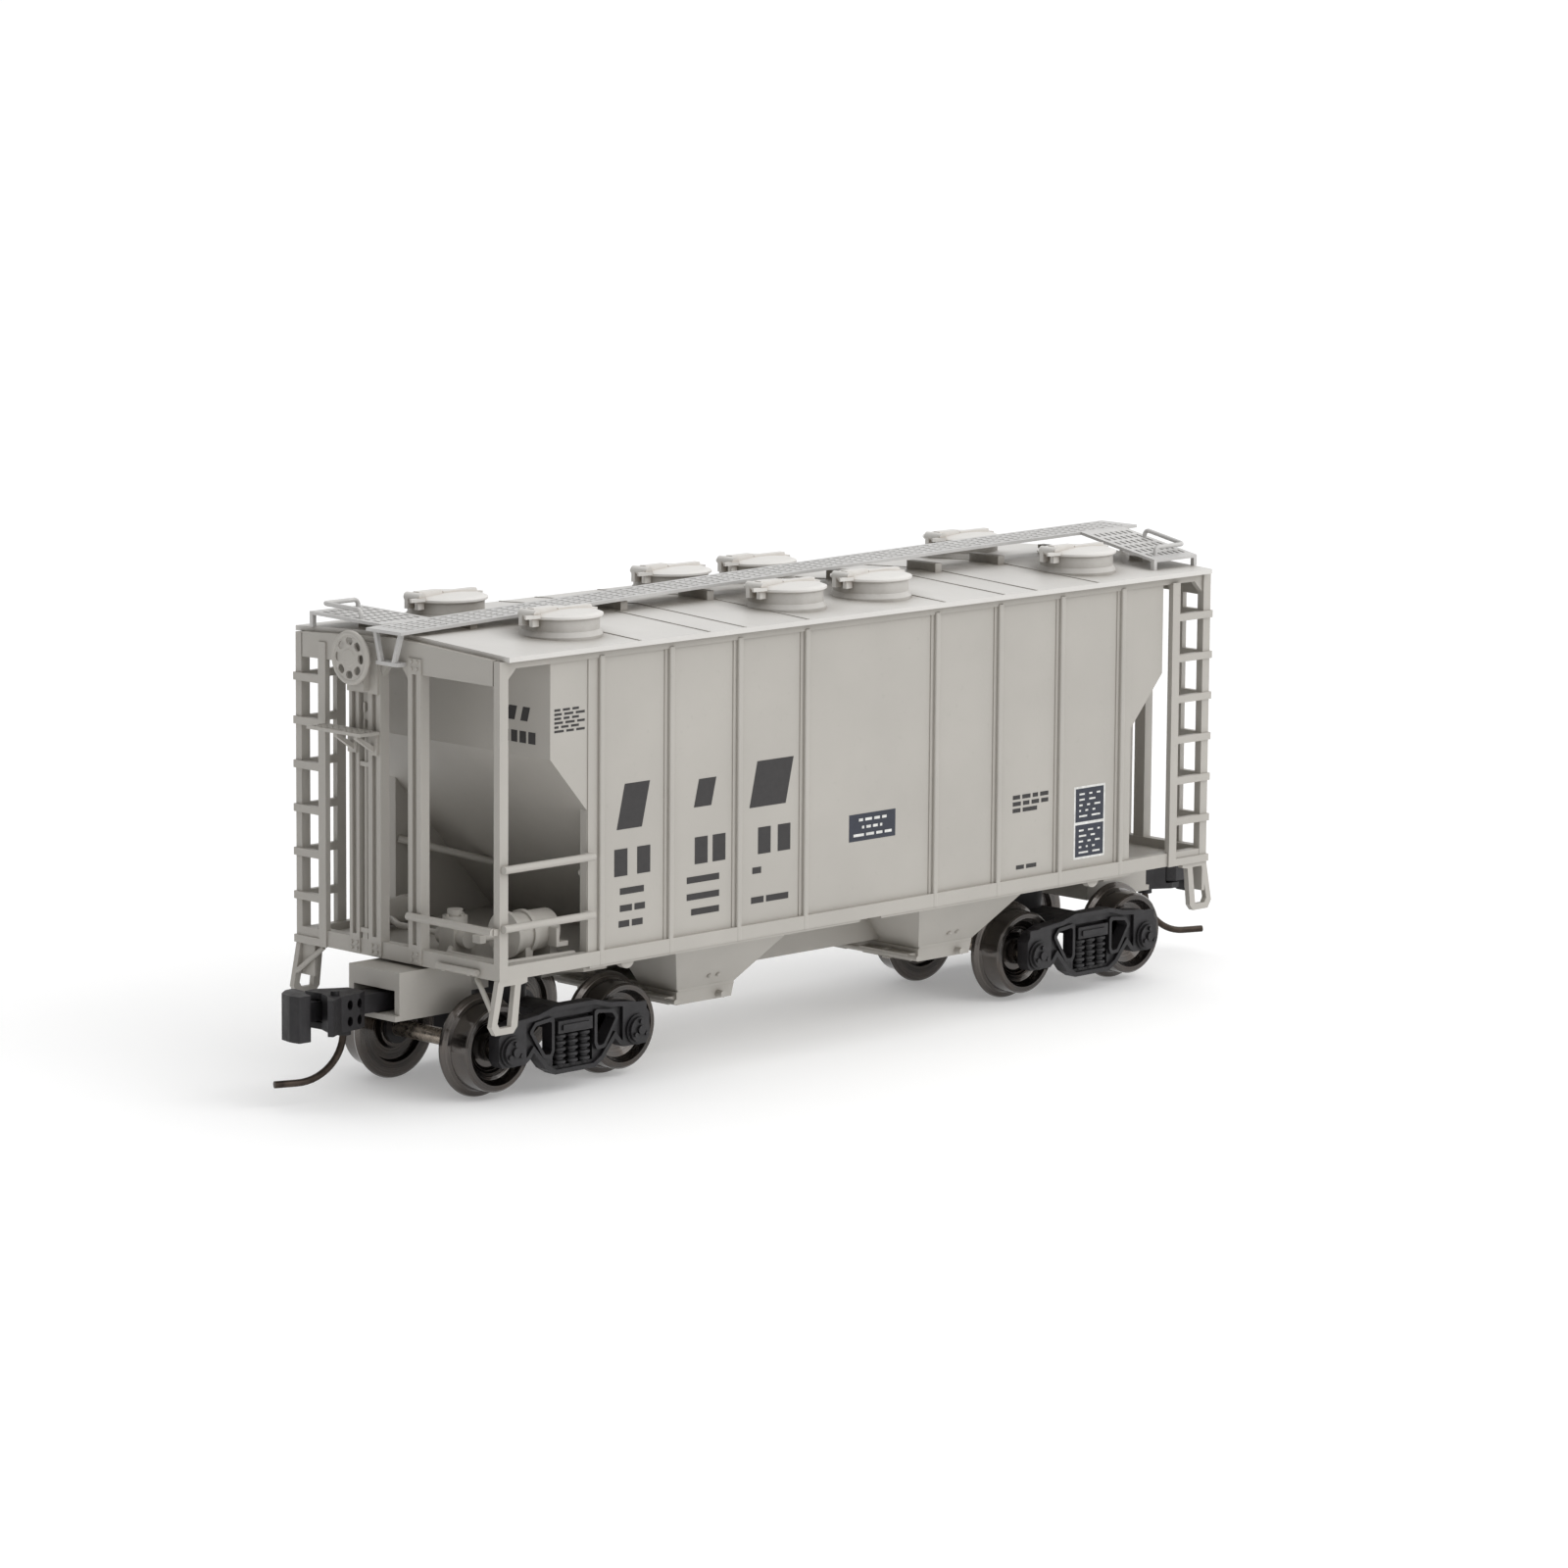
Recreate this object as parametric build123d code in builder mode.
from build123d import *
import os
from math import cos, radians, sin, tan

# An N scale (1:160) two-bay covered hopper car, in millimetres.
# +X runs along the car, with the brake (B) end at -X. +Z is up. The origin is on the
# surface that the wheel flanges stand on, midway between the trucks.
# Apart from the brake gear, the A end is the B end turned half a turn about Z.

# ---------------------------------------------------------------- driving dimensions
PROTOTYPE_INCH = 25.4 / 160

# wheels and track
TREAD_R = 18 * PROTOTYPE_INCH           # a 36 inch wheel
FLANGE_R = TREAD_R + 0.5
AXLE_Z = FLANGE_R                       # the flanges stand on z = 0
WHEEL_BACK_Y = 3.8                      # half the back-to-back distance
WHEEL_WIDTH = 2.15
AXLE_R = 0.55
BUSH_R = 0.8                            # outside of the insulating bush
JOURNAL_R = 0.42
RUNNING_GAP = 0.05                      # radial clearance of every shaft and pin
AXLE_TIP_Y = 7.02

# trucks
TRUCK_X = 24.4
WHEELBASE = 10.9
SIDEFRAME_IN_Y = 6.2
SIDEFRAME_OUT_Y = 6.9
SIDEFRAME_RIB = 0.25
TRUCK_TOP_Z = 5.75
TRUCK_BOTTOM_Z = 1.35
BOLSTER_Z = (4.0, 5.2)
CENTRE_PLATE_Z = 6.9                    # where the car rests on the truck
TRUCK_SCREW_R = 0.7

# body
ROOF_HALF = (32.8, 10.1)
ROOF_Z = 28.7                           # underside of the roof at the eaves
ROOF_THICK = 0.32
ROOF_RISE = 0.55                        # from the eaves to the crown
SIDE_Y = 9.35                           # outside of the side sheets
STAKE_OUT_Y = 9.62
SHEET = 0.6
SILL_Z = 8.6
SILL_TOP_Z = 9.5
STAKE_PITCH = 6.1
STAKE_STEPS = (1, 2, 3, 4)              # each side of the middle, in pitches
END_SHEET_X = 28.65
KNEE_Z = 22.1                           # where the end sheet turns into the slope sheet
PANEL_END_X = 25.5
SLOPE = tan(radians(48.3))
FRAME_X = 33.2                          # outside of the end frames

# hopper bays
BAY_X = 11.3
BAY_TOP = (5.4, 8.35)                   # half sizes at the side sill
BAY_BOTTOM = (2.5, 5.5)                 # half sizes at the outlet
OUTLET_Z = 4.85
GATE_Z = 3.95

# hatches and roofwalk
HATCH_X = (24.1, 4.0)
HATCH_Y = 5.4
COAMING_R = 2.5
COAMING_TOP_Z = 30.42
LID_R = 2.72
WALK_HALF_W = 1.65
WALK_THICK = 0.2
WALK_ENDS = ((-34.25, 29.85), (34.4, 31.2))   # top surface at the two ends, x and z
WALK_MIDDLE_Z = 30.72
PLATFORM_X = (28.6, 33.0)
PLATFORM_TIP_Y = 8.5
SADDLE_X = (6.9, 14.7, 20.9, 27.8)
SADDLE_TOP_Z = 30.1

# couplers
DRAFT_BOX_X = (29.0, 35.1)
DRAFT_BOX_Y = 2.4
DRAFT_BOX_Z = (5.65, 8.4)
DRAFT_WALL = 0.45
DRAFT_ROOF_Z = 7.2
COVER_THICK = 0.35
COUPLER_PIVOT_X = 31.2
COUPLER_PIVOT_R = 0.7
KNUCKLE_PIN = (39.0, -1.2)              # at the B end: x is negative, y is positive
KNUCKLE_PIN_R = 0.28

# ends
CORNER_POST = (0.72, 0.55)              # along X, along Y
RUNG_PITCH = 2.84
TOP_RUNG_Z = 25.85
RUNGS = 7
BRAKE_WHEEL_R = 1.75
BRAKE_Y = 3.0
BRAKE_WHEEL_Z = 27.8

HALF_TURN = Rotation(0, 0, 180)
os.makedirs("parts", exist_ok=True)


# ---------------------------------------------------------------- helpers
def save(part, label):
    """Label a finished piece and write it."""
    part.label = label
    export_step(part, f"parts/{label}.step")


def save_ends(part, label):
    """Write a B end piece, and the same piece turned round for the A end."""
    save(part, f"{label}_b")
    save(HALF_TURN * part, f"{label}_a")


def block(x, y, z, mode=Mode.ADD):
    """A box between pairs of limits, in the part being built."""
    with Locations(((x[0] + x[1]) / 2, (y[0] + y[1]) / 2, (z[0] + z[1]) / 2)):
        Box(x[1] - x[0], y[1] - y[0], z[1] - z[0], mode=mode)


def panel(across, up, mode=Mode.ADD):
    """A rectangle between pairs of limits, in the sketch being built."""
    with Locations(((across[0] + across[1]) / 2, (up[0] + up[1]) / 2)):
        Rectangle(across[1] - across[0], up[1] - up[0], mode=mode)


def rod(points, radius, bend=None):
    """A round bar along straight runs, with rounded corners where bend is given."""
    with BuildPart() as bar:
        with BuildLine() as path:
            if bend:
                FilletPolyline(*points, radius=bend)
            else:
                Polyline(*points)
        with BuildSketch(Plane(origin=path.line @ 0, z_dir=path.line % 0)):
            Circle(radius)
        sweep(transition=Transition.RIGHT)
    return bar.part


def roof_z(y):
    """Top of the roof at a distance y from the middle."""
    return ROOF_Z + ROOF_THICK + ROOF_RISE * (1 - abs(y) / ROOF_HALF[1])


def walk_z(x):
    """Top of the roofwalk, which is bowed a little along its length."""
    (x0, z0), (x1, z1) = WALK_ENDS
    middle, half = (x0 + x1) / 2, (x1 - x0) / 2
    t = (x - middle) / half
    chord = (z0 + z1) / 2 + t * (z1 - z0) / 2
    return chord + (WALK_MIDDLE_Z - (z0 + z1) / 2) * (1 - t * t)


def slope_x(z):
    """Outside of the B end slope sheet at a height z."""
    return -END_SHEET_X + (KNEE_Z - z) / SLOPE


def platform_z(end, y):
    """Top of a lateral platform, which falls from the walk to its tip, at a distance y."""
    inner_z = walk_z(end * sum(PLATFORM_X) / 2)
    tip_z = roof_z(PLATFORM_TIP_Y) + (0.75 if end > 0 else 1.0)
    return inner_z + (tip_z - inner_z) * (abs(y) - WALK_HALF_W) / (PLATFORM_TIP_Y - WALK_HALF_W)


stake_xs = [side * n * STAKE_PITCH for side in (-1, 1) for n in STAKE_STEPS]
rung_zs = [TOP_RUNG_Z - n * RUNG_PITCH for n in range(RUNGS)]

# ---------------------------------------------------------------- body shell
STAKE = (0.42, 0.32)
LAP = (0.95, 0.07)                      # flat strip that each stake stands on
END_STRIP = (24.78, 25.45)
CHORD_Z = 28.2

with BuildPart() as body_shell:
    with BuildSketch(Plane.XZ):
        with BuildLine():
            Polyline((-END_SHEET_X, ROOF_Z), (-END_SHEET_X, KNEE_Z), (slope_x(SILL_Z), SILL_Z),
                     (-slope_x(SILL_Z), SILL_Z), (END_SHEET_X, KNEE_Z), (END_SHEET_X, ROOF_Z),
                     close=True)
        make_face()
    extrude(amount=SIDE_Y, both=True)
    # the load space, open at the top
    inner_x = END_SHEET_X - SHEET
    inner_knee = KNEE_Z + SHEET * tan(radians(24))
    inner_floor = SILL_Z + SHEET
    inner_foot = inner_x - (inner_knee - inner_floor) / SLOPE
    with BuildSketch(Plane.XZ):
        with BuildLine():
            Polyline((-inner_x, ROOF_Z), (-inner_x, inner_knee), (-inner_foot, inner_floor),
                     (inner_foot, inner_floor), (inner_x, inner_knee), (inner_x, ROOF_Z),
                     close=True)
        make_face()
    extrude(amount=SIDE_Y - SHEET, both=True, mode=Mode.SUBTRACT)
    # side sheets, with the ears that follow the slope sheets
    for side in (-1, 1):
        ear_foot = KNEE_Z - (END_SHEET_X - PANEL_END_X) * SLOPE
        with BuildSketch(Plane.XZ.offset(-side * (SIDE_Y - SHEET / 2))):
            with BuildLine():
                Polyline((-PANEL_END_X, SILL_Z), (-PANEL_END_X, ear_foot), (-END_SHEET_X, KNEE_Z),
                         (-END_SHEET_X, ROOF_Z), (END_SHEET_X, ROOF_Z), (END_SHEET_X, KNEE_Z),
                         (PANEL_END_X, ear_foot), (PANEL_END_X, SILL_Z), close=True)
            make_face()
        extrude(amount=SHEET / 2, both=True)
        outside = sorted((side * SIDE_Y, side * STAKE_OUT_Y))
        block((-PANEL_END_X, PANEL_END_X), outside, (SILL_Z, SILL_TOP_Z))
        block((-END_SHEET_X, END_SHEET_X), sorted((side * SIDE_Y, side * (SIDE_Y + 0.17))),
              (CHORD_Z, ROOF_Z))
        lap_y = sorted((side * SIDE_Y, side * (SIDE_Y + LAP[1])))
        for x in stake_xs:
            block((x - LAP[0] / 2, x + LAP[0] / 2), lap_y, (SILL_TOP_Z, CHORD_Z))
        for end in (-1, 1):
            block(sorted(end * x for x in END_STRIP), lap_y, (SILL_TOP_Z, CHORD_Z))
        # side stakes, with rounded outer corners
        with BuildSketch(Plane.XY.offset(SILL_Z)):
            with Locations([(x, side * (STAKE_OUT_Y - STAKE[1] / 2)) for x in stake_xs]):
                RectangleRounded(STAKE[0], STAKE[1] + 0.06, 0.11)
        extrude(amount=CHORD_Z + 0.12 - SILL_Z)
    save(body_shell.part, "body_shell")

# ---------------------------------------------------------------- roof
SEAM_X = (6.4, 12.1, 15.3, 21.4)
SEAM = (0.16, 0.05)
LID_SEAT = 0.4

with BuildPart() as roof:
    crown = ROOF_Z + ROOF_RISE
    with BuildSketch(Plane.YZ):
        with BuildLine():
            Polyline((-ROOF_HALF[1], ROOF_Z), (-ROOF_HALF[1], ROOF_Z + ROOF_THICK),
                     (0, crown + ROOF_THICK), (ROOF_HALF[1], ROOF_Z + ROOF_THICK),
                     (ROOF_HALF[1], ROOF_Z), (0, crown), close=True)
        make_face()
    extrude(amount=ROOF_HALF[0], both=True)
    # the part above the load space is filled down to the top of the side sheets
    filler_z = ROOF_Z + ROOF_RISE * (1 - SIDE_Y / ROOF_HALF[1])
    with BuildSketch(Plane.YZ):
        with BuildLine():
            Polyline((-SIDE_Y, ROOF_Z), (-SIDE_Y, filler_z + 0.1), (0, crown + 0.1),
                     (SIDE_Y, filler_z + 0.1), (SIDE_Y, ROOF_Z), close=True)
        make_face()
    extrude(amount=END_SHEET_X, both=True)
    # low ribs over the roof sheet joints
    for x in [end * seam for end in (-1, 1) for seam in SEAM_X]:
        with BuildSketch(Plane.YZ.offset(x - SEAM[0] / 2)):
            with BuildLine():
                Polyline((-9.9, roof_z(9.9) - 0.1), (-9.9, roof_z(9.9) + SEAM[1]),
                         (0, roof_z(0) + SEAM[1]), (9.9, roof_z(9.9) + SEAM[1]),
                         (9.9, roof_z(9.9) - 0.1), (0, roof_z(0) - 0.1), close=True)
            make_face()
        extrude(amount=SEAM[0])
    # hatch coamings, flared where they meet the roof
    coaming_base = roof_z(HATCH_Y) - 0.25
    with BuildSketch(Plane.XZ) as coaming:
        with BuildLine():
            Polyline((0, coaming_base), (COAMING_R + 0.22, coaming_base),
                     (COAMING_R + 0.2, coaming_base + 0.3), (COAMING_R, coaming_base + 0.62),
                     (COAMING_R, COAMING_TOP_Z), (COAMING_R - LID_SEAT, COAMING_TOP_Z),
                     (COAMING_R - LID_SEAT, COAMING_TOP_Z - 0.4), (0, COAMING_TOP_Z - 0.4),
                     close=True)
        make_face()
    ring = revolve(coaming.sketch, axis=Axis.Z, mode=Mode.PRIVATE)
    for x in [end * h for end in (-1, 1) for h in HATCH_X]:
        for y in (-HATCH_Y, HATCH_Y):
            add(Location((x, y, 0)) * ring)
    # saddles under the roofwalk
    for x in [end * s for end in (-1, 1) for s in SADDLE_X]:
        top = min(SADDLE_TOP_Z, walk_z(x) - WALK_THICK)
        block((x - 0.3, x + 0.3), (-1.35, 1.35), (roof_z(1.35) - 0.2, top))
    # blocks under the lateral platforms
    for end in (-1, 1):
        outer = sorted((-end * 4.4, -end * 5.6))
        block(sorted((end * 30.6, end * 31.4)), outer, (roof_z(5.6) - 0.2, roof_z(5.6) + 0.35))
save(roof.part, "roof")


# ---------------------------------------------------------------- hatch covers
def hatch_cover():
    """A round lid with a stepped batten, hinge lugs and a latch, seated at z = 0."""
    with BuildPart() as cover:
        with BuildSketch(Plane.XZ):
            with BuildLine():
                Polyline((0, 0), (LID_R - 0.12, 0), (LID_R, 0.08), (LID_R, 0.2),
                         (LID_R - 0.35, 0.32), (1.0, 0.42), (0, 0.44), close=True)
            make_face()
        revolve(axis=Axis.Z)
        # batten across the lid: low outer part, higher hinge half
        for middle, length, width, height in ((1.0, 3.2, 0.78, 0.54), (-1.6, 2.3, 0.95, 0.68)):
            with BuildSketch(Plane.XY.offset(0.1)):
                with Locations((middle, 0)):
                    RectangleRounded(length, width, 0.2)
            extrude(amount=height - 0.1, taper=18)
        # hinge barrel with two lugs that reach down to the coaming
        with Locations(Location((-2.7, 0, 0.34), (90, 0, 0))):
            Cylinder(0.3, 1.5)
        for y in (-0.5, 0.5):
            block((-3.0, -2.45), (y - 0.16, y + 0.16), (-0.42, 0.3))
        # latch opposite the hinge, and the locking handle beside it
        block((2.5, 3.0), (-0.22, 0.22), (-0.1, 0.3))
        with BuildSketch(Plane.XY.offset(0.12)):
            with BuildLine():
                Polyline((-2.6, -0.95), (-3.7, -0.78), (-3.7, -0.62), (-2.6, -0.45), close=True)
            make_face()
        extrude(amount=0.22)
    return cover.part


lid = hatch_cover()
hatch_xs = sorted(end * x for end in (-1, 1) for x in HATCH_X)
hatch_places = [(x, y) for y in (-HATCH_Y, HATCH_Y) for x in hatch_xs]
for number, (x, y) in enumerate(hatch_places, 1):
    save(Location((x, y, COAMING_TOP_Z)) * lid, f"hatch_cover_{number}")

# ---------------------------------------------------------------- roofwalk
GRATING_PITCH = (0.96, 0.55)
GRATING_HOLE = (0.64, 0.25)
WALK_GRID = (70, 5)
PLATFORM_GRID = (7, 6)
LEG = 0.3

with BuildPart() as roofwalk:
    (x0, z0), (x1, z1) = WALK_ENDS
    middle_x = (x0 + x1) / 2
    with BuildSketch(Plane.XZ):
        with BuildLine():
            ThreePointArc((x0, z0), (middle_x, WALK_MIDDLE_Z), (x1, z1))
            Line((x1, z1), (x1, z1 - WALK_THICK))
            ThreePointArc((x1, z1 - WALK_THICK), (middle_x, WALK_MIDDLE_Z - WALK_THICK),
                          (x0, z0 - WALK_THICK))
            Line((x0, z0 - WALK_THICK), (x0, z0))
        make_face()
    extrude(amount=WALK_HALF_W, both=True)
    # lateral platforms, from the walk out to legs that stand on the roof
    for end in (-1, 1):
        inner_z, tip_z = platform_z(end, WALK_HALF_W), platform_z(end, PLATFORM_TIP_Y)
        inner_y, tip_y = -end * (WALK_HALF_W - 0.05), -end * PLATFORM_TIP_Y
        with BuildSketch(Plane.YZ.offset(sorted(end * x for x in PLATFORM_X)[0])):
            with BuildLine():
                Polyline((inner_y, inner_z), (tip_y, tip_z), (tip_y, tip_z - WALK_THICK),
                         (inner_y, inner_z - WALK_THICK), close=True)
            make_face()
        extrude(amount=PLATFORM_X[1] - PLATFORM_X[0])
        for x in PLATFORM_X:
            edge = sorted((end * (x - LEG / 2 if x > 30 else x + LEG / 2) + s * LEG / 2 for s in (-1, 1)))
            block(edge, sorted((tip_y, tip_y + end * LEG)), (roof_z(PLATFORM_TIP_Y), tip_z - 0.05))
    # braces that hold the overhanging ends against the end frames
    for end in (-1, 1):
        under = (z0 if end < 0 else z1) - WALK_THICK + 0.02
        for y in (-1.35, 1.05):
            with BuildSketch(Plane.YZ.offset(end * (FRAME_X + 0.62))):
                with BuildLine():
                    Polyline((y, under), (y + 0.3, under), (y / 2 + 0.3, 27.7), (y / 2, 27.7), close=True)
                make_face()
            extrude(amount=0.14, both=True)
        block(sorted((end * FRAME_X, end * (FRAME_X + 0.76))), (-0.95, 1.05), (27.55, 27.8))
    # gratings
    with BuildSketch(Plane.XY.offset(28)):
        with Locations((middle_x, 0)):
            with GridLocations(*GRATING_PITCH, *WALK_GRID):
                Rectangle(*GRATING_HOLE)
    extrude(amount=5, mode=Mode.SUBTRACT)
    for end in (-1, 1):
        with BuildSketch(Plane.XY.offset(28)):
            with Locations((end * sum(PLATFORM_X) / 2, -end * (WALK_HALF_W + PLATFORM_TIP_Y) / 2)):
                with GridLocations(*GRATING_PITCH[::-1], *PLATFORM_GRID):
                    Rectangle(*GRATING_HOLE[::-1])
        extrude(amount=5, mode=Mode.SUBTRACT)
save(roofwalk.part, "roofwalk")

# wire grabs at the outer corner of each lateral platform
GRAB_R = 0.15
GRAB_RISE = 0.55
with BuildPart() as grabs:
    for end in (-1, 1):
        inner, corner, outer = (32.5, 4.1), (32.5, 7.7), (29.6, 7.7)
        places = [(end * x, -end * y) for x, y in (inner, inner, corner, outer, outer)]
        heights = [platform_z(end, inner[1]) - 0.05, platform_z(end, inner[1]) + GRAB_RISE,
                   platform_z(end, corner[1]) + GRAB_RISE, platform_z(end, outer[1]) + GRAB_RISE,
                   platform_z(end, outer[1]) - 0.05]
        add(rod([(x, y, z) for (x, y), z in zip(places, heights)], GRAB_R, bend=0.35))
save(grabs.part, "roofwalk_grabs")

# ---------------------------------------------------------------- end frames
POSTS = ((-2.45, -1.25), (1.35, 2.55), (3.4, 4.35))     # across the B end, from y to y
POST_DEPTH = 0.62
FASCIA_Z = 27.15
LADDER_STILE = (6.65, 7.35)
POST_BOLT_Z = (SILL_Z + 0.35, SILL_Z + 0.75, FASCIA_Z + 0.35, FASCIA_Z + 0.8)

with BuildPart() as end_frame:
    outer = Plane.YZ.offset(-FRAME_X)
    # end beam under the roof, and the end sill
    with BuildSketch(outer):
        with BuildLine():
            Polyline((-9.0, FASCIA_Z), (-9.0, roof_z(9.0) - ROOF_THICK), (0, roof_z(0) - ROOF_THICK),
                     (9.0, roof_z(9.0) - ROOF_THICK), (9.0, FASCIA_Z), (4.6, FASCIA_Z + 0.1),
                     (3.6, FASCIA_Z + 0.55), (-1.0, FASCIA_Z + 0.55), (-2.6, FASCIA_Z), close=True)
        make_face()
    extrude(amount=0.4)
    block((-FRAME_X, -FRAME_X + 0.7), (-9.65, 9.65), (SILL_Z, SILL_TOP_Z + 0.15))
    # corner posts
    for side in (-1, 1):
        across = sorted((side * (9.65 - CORNER_POST[1]), side * 9.65))
        block((-FRAME_X, -FRAME_X + CORNER_POST[0]), across, (SILL_Z, ROOF_Z))
    # channel posts between the sill and the end beam
    for y0, y1 in POSTS:
        block((-FRAME_X - 0.12, -FRAME_X + POST_DEPTH), (y0, y1), (SILL_Z + 0.1, FASCIA_Z + 1.0))
        middle = (y0 + y1) / 2
        block((-FRAME_X - 0.12, -FRAME_X + 0.12), (middle - 0.2, middle + 0.2),
              (SILL_TOP_Z + 0.4, FASCIA_Z), mode=Mode.SUBTRACT)
        for z in POST_BOLT_Z[:2] if y0 > 0 else POST_BOLT_Z:
            for y in (middle - 0.25, middle + 0.25):
                with Locations(Location((-FRAME_X - 0.15, y, z), (0, 90, 0))):
                    Cylinder(0.11, 0.14)
    # gussets where the middle posts meet the end beam
    with BuildSketch(outer):
        for y, turn in ((-1.25, 1), (1.35, -1)):
            with BuildLine():
                Polyline((y, FASCIA_Z + 0.56), (y, FASCIA_Z - 0.5), (y + turn * 0.9, FASCIA_Z + 0.56),
                         close=True)
            make_face()
    extrude(amount=0.4)
    # side sills and top rails, which reach from the end frame to the body
    for side in (-1, 1):
        sill_y = sorted((side * (STAKE_OUT_Y - 0.6), side * STAKE_OUT_Y))
        block((-FRAME_X + 0.3, -PANEL_END_X), sill_y, (SILL_Z, SILL_TOP_Z))
        rail_y = sorted((side * (SIDE_Y - 0.3), side * (SIDE_Y + 0.17)))
        block((-FRAME_X + 0.3, -END_SHEET_X), rail_y, (CHORD_Z, ROOF_Z))
        # rounded brackets under the top rail
        with BuildSketch(Plane.XZ.offset(-side * (SIDE_Y - 0.06))):
            with BuildLine():
                corner = (-FRAME_X + CORNER_POST[0], CHORD_Z)
                Line(corner, (corner[0] + 0.8, CHORD_Z))
                Line((corner[0] + 0.8, CHORD_Z), (corner[0], CHORD_Z - 0.8))
                Line((corner[0], CHORD_Z - 0.8), corner)
            make_face()
        extrude(amount=0.2, both=True)
save_ends(end_frame.part, "end_frame")

# ---------------------------------------------------------------- corner ladders
# Each end has one, on its own left-hand side when seen from outside: an L of two ladders.
# The corner post is the outer stile of both, and the rungs lap over its face.
RUNG_H = 0.5
LADDER_DEPTH = 0.4
LAP_DEPTH = 0.12
SIDE_STILE_X = (-29.95, -29.2)
LADDER_TOP_Z = 28.3
POST_OUT_Y = 9.65
END_SILL_TOP_Z = SILL_TOP_Z + 0.15

with BuildPart() as corner_ladder:
    lap_x = (-FRAME_X - LAP_DEPTH, -FRAME_X)
    lap_y = (POST_OUT_Y, POST_OUT_Y + LAP_DEPTH)
    deep_x = (lap_x[0], lap_x[0] + LADDER_DEPTH)
    deep_y = (lap_y[1] - LADDER_DEPTH, lap_y[1])
    # the inner stiles, thinner where they lap over the sills, the end beam and the top rail
    block(lap_x, LADDER_STILE, (SILL_Z, LADDER_TOP_Z))
    block(deep_x, LADDER_STILE, (END_SILL_TOP_Z, FASCIA_Z))
    block(SIDE_STILE_X, lap_y, (SILL_Z, LADDER_TOP_Z))
    block(SIDE_STILE_X, deep_y, (SILL_TOP_Z, CHORD_Z))
    for z in rung_zs:
        rung_z = (z - RUNG_H / 2, z + RUNG_H / 2)
        block(lap_x, (LADDER_STILE[0], lap_y[1]), rung_z)
        block((lap_x[0], SIDE_STILE_X[1]), lap_y, rung_z)
        if z > END_SILL_TOP_Z:
            block(deep_x, (LADDER_STILE[0], POST_OUT_Y - CORNER_POST[1]), rung_z)
            block((-FRAME_X + CORNER_POST[0], SIDE_STILE_X[1]), deep_y, rung_z)
save_ends(corner_ladder.part, "corner_ladder")

# ---------------------------------------------------------------- grab irons
GRAB_IRON_R = 0.25
with BuildPart() as grab_irons:
    for z in (15.67, 11.95):
        add(rod([(-FRAME_X + 0.1, -9.9, z), (-PANEL_END_X + 0.1, -9.9, z)], GRAB_IRON_R))
        for x, y in ((-FRAME_X + 0.35, -9.65), (-PANEL_END_X - 0.1, -SIDE_Y)):
            block((x - 0.2, x + 0.2), (-9.9, y), (z - 0.2, z + 0.2))
    bar_x = -FRAME_X - 0.38
    add(rod([(bar_x, -9.45, 11.75), (bar_x, -1.5, 11.75)], GRAB_IRON_R))
    for y, back in ((-9.35, -FRAME_X), (-1.85, -FRAME_X - 0.12)):
        block((bar_x, back), (y - 0.2, y + 0.2), (11.55, 11.95))
with BuildPart() as all_grab_irons:
    add(grab_irons.part)
    add(HALF_TURN * grab_irons.part)
save(all_grab_irons.part, "grab_irons")

# ---------------------------------------------------------------- stirrup steps
STEP_BOTTOM_Z = 5.2
STEP_BAR = 0.42


def stirrup(side):
    """The corner step at one side of the B end."""
    with BuildPart() as step:
        with BuildSketch(Plane.XZ.offset(-side * 9.42)):
            with BuildLine():
                Polyline((-33.25, SILL_Z), (-33.85, 5.75), (-33.5, STEP_BOTTOM_Z), (-32.0, STEP_BOTTOM_Z),
                         (-31.65, 5.6), (-31.35, 8.2), (-30.8, 8.3), (-30.8, SILL_Z), close=True)
            make_face()
            with BuildLine():
                Polyline((-32.8, 8.25), (-33.35, 5.95), (-33.15, STEP_BOTTOM_Z + STEP_BAR),
                         (-32.2, STEP_BOTTOM_Z + STEP_BAR), (-31.85, 8.25), close=True)
            make_face(mode=Mode.SUBTRACT)
        extrude(amount=0.2, both=True)
        # brace from the end sill to the outer leg
        add(rod([(-32.95, side * 7.3, SILL_Z - 0.13), (-33.55, side * 9.3, 6.7)], 0.17))
    return step.part


with BuildPart() as steps_of_one_end:
    for side in (-1, 1):
        add(stirrup(side))
    # plate above the step at the ladder's corner
    block((-33.1, -32.85), (8.0, 9.62), (6.5, SILL_Z))
with BuildPart() as stirrup_steps:
    add(steps_of_one_end.part)
    add(HALF_TURN * steps_of_one_end.part)
save(stirrup_steps.part, "stirrup_steps")

# ---------------------------------------------------------------- underframe
CENTRE_SILL_Y = 1.5
CENTRE_SILL_Z = 6.3
FLOOR_Z = (8.6, 9.05)
SCREW_HOLE_R = TRUCK_SCREW_R - 0.1

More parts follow.
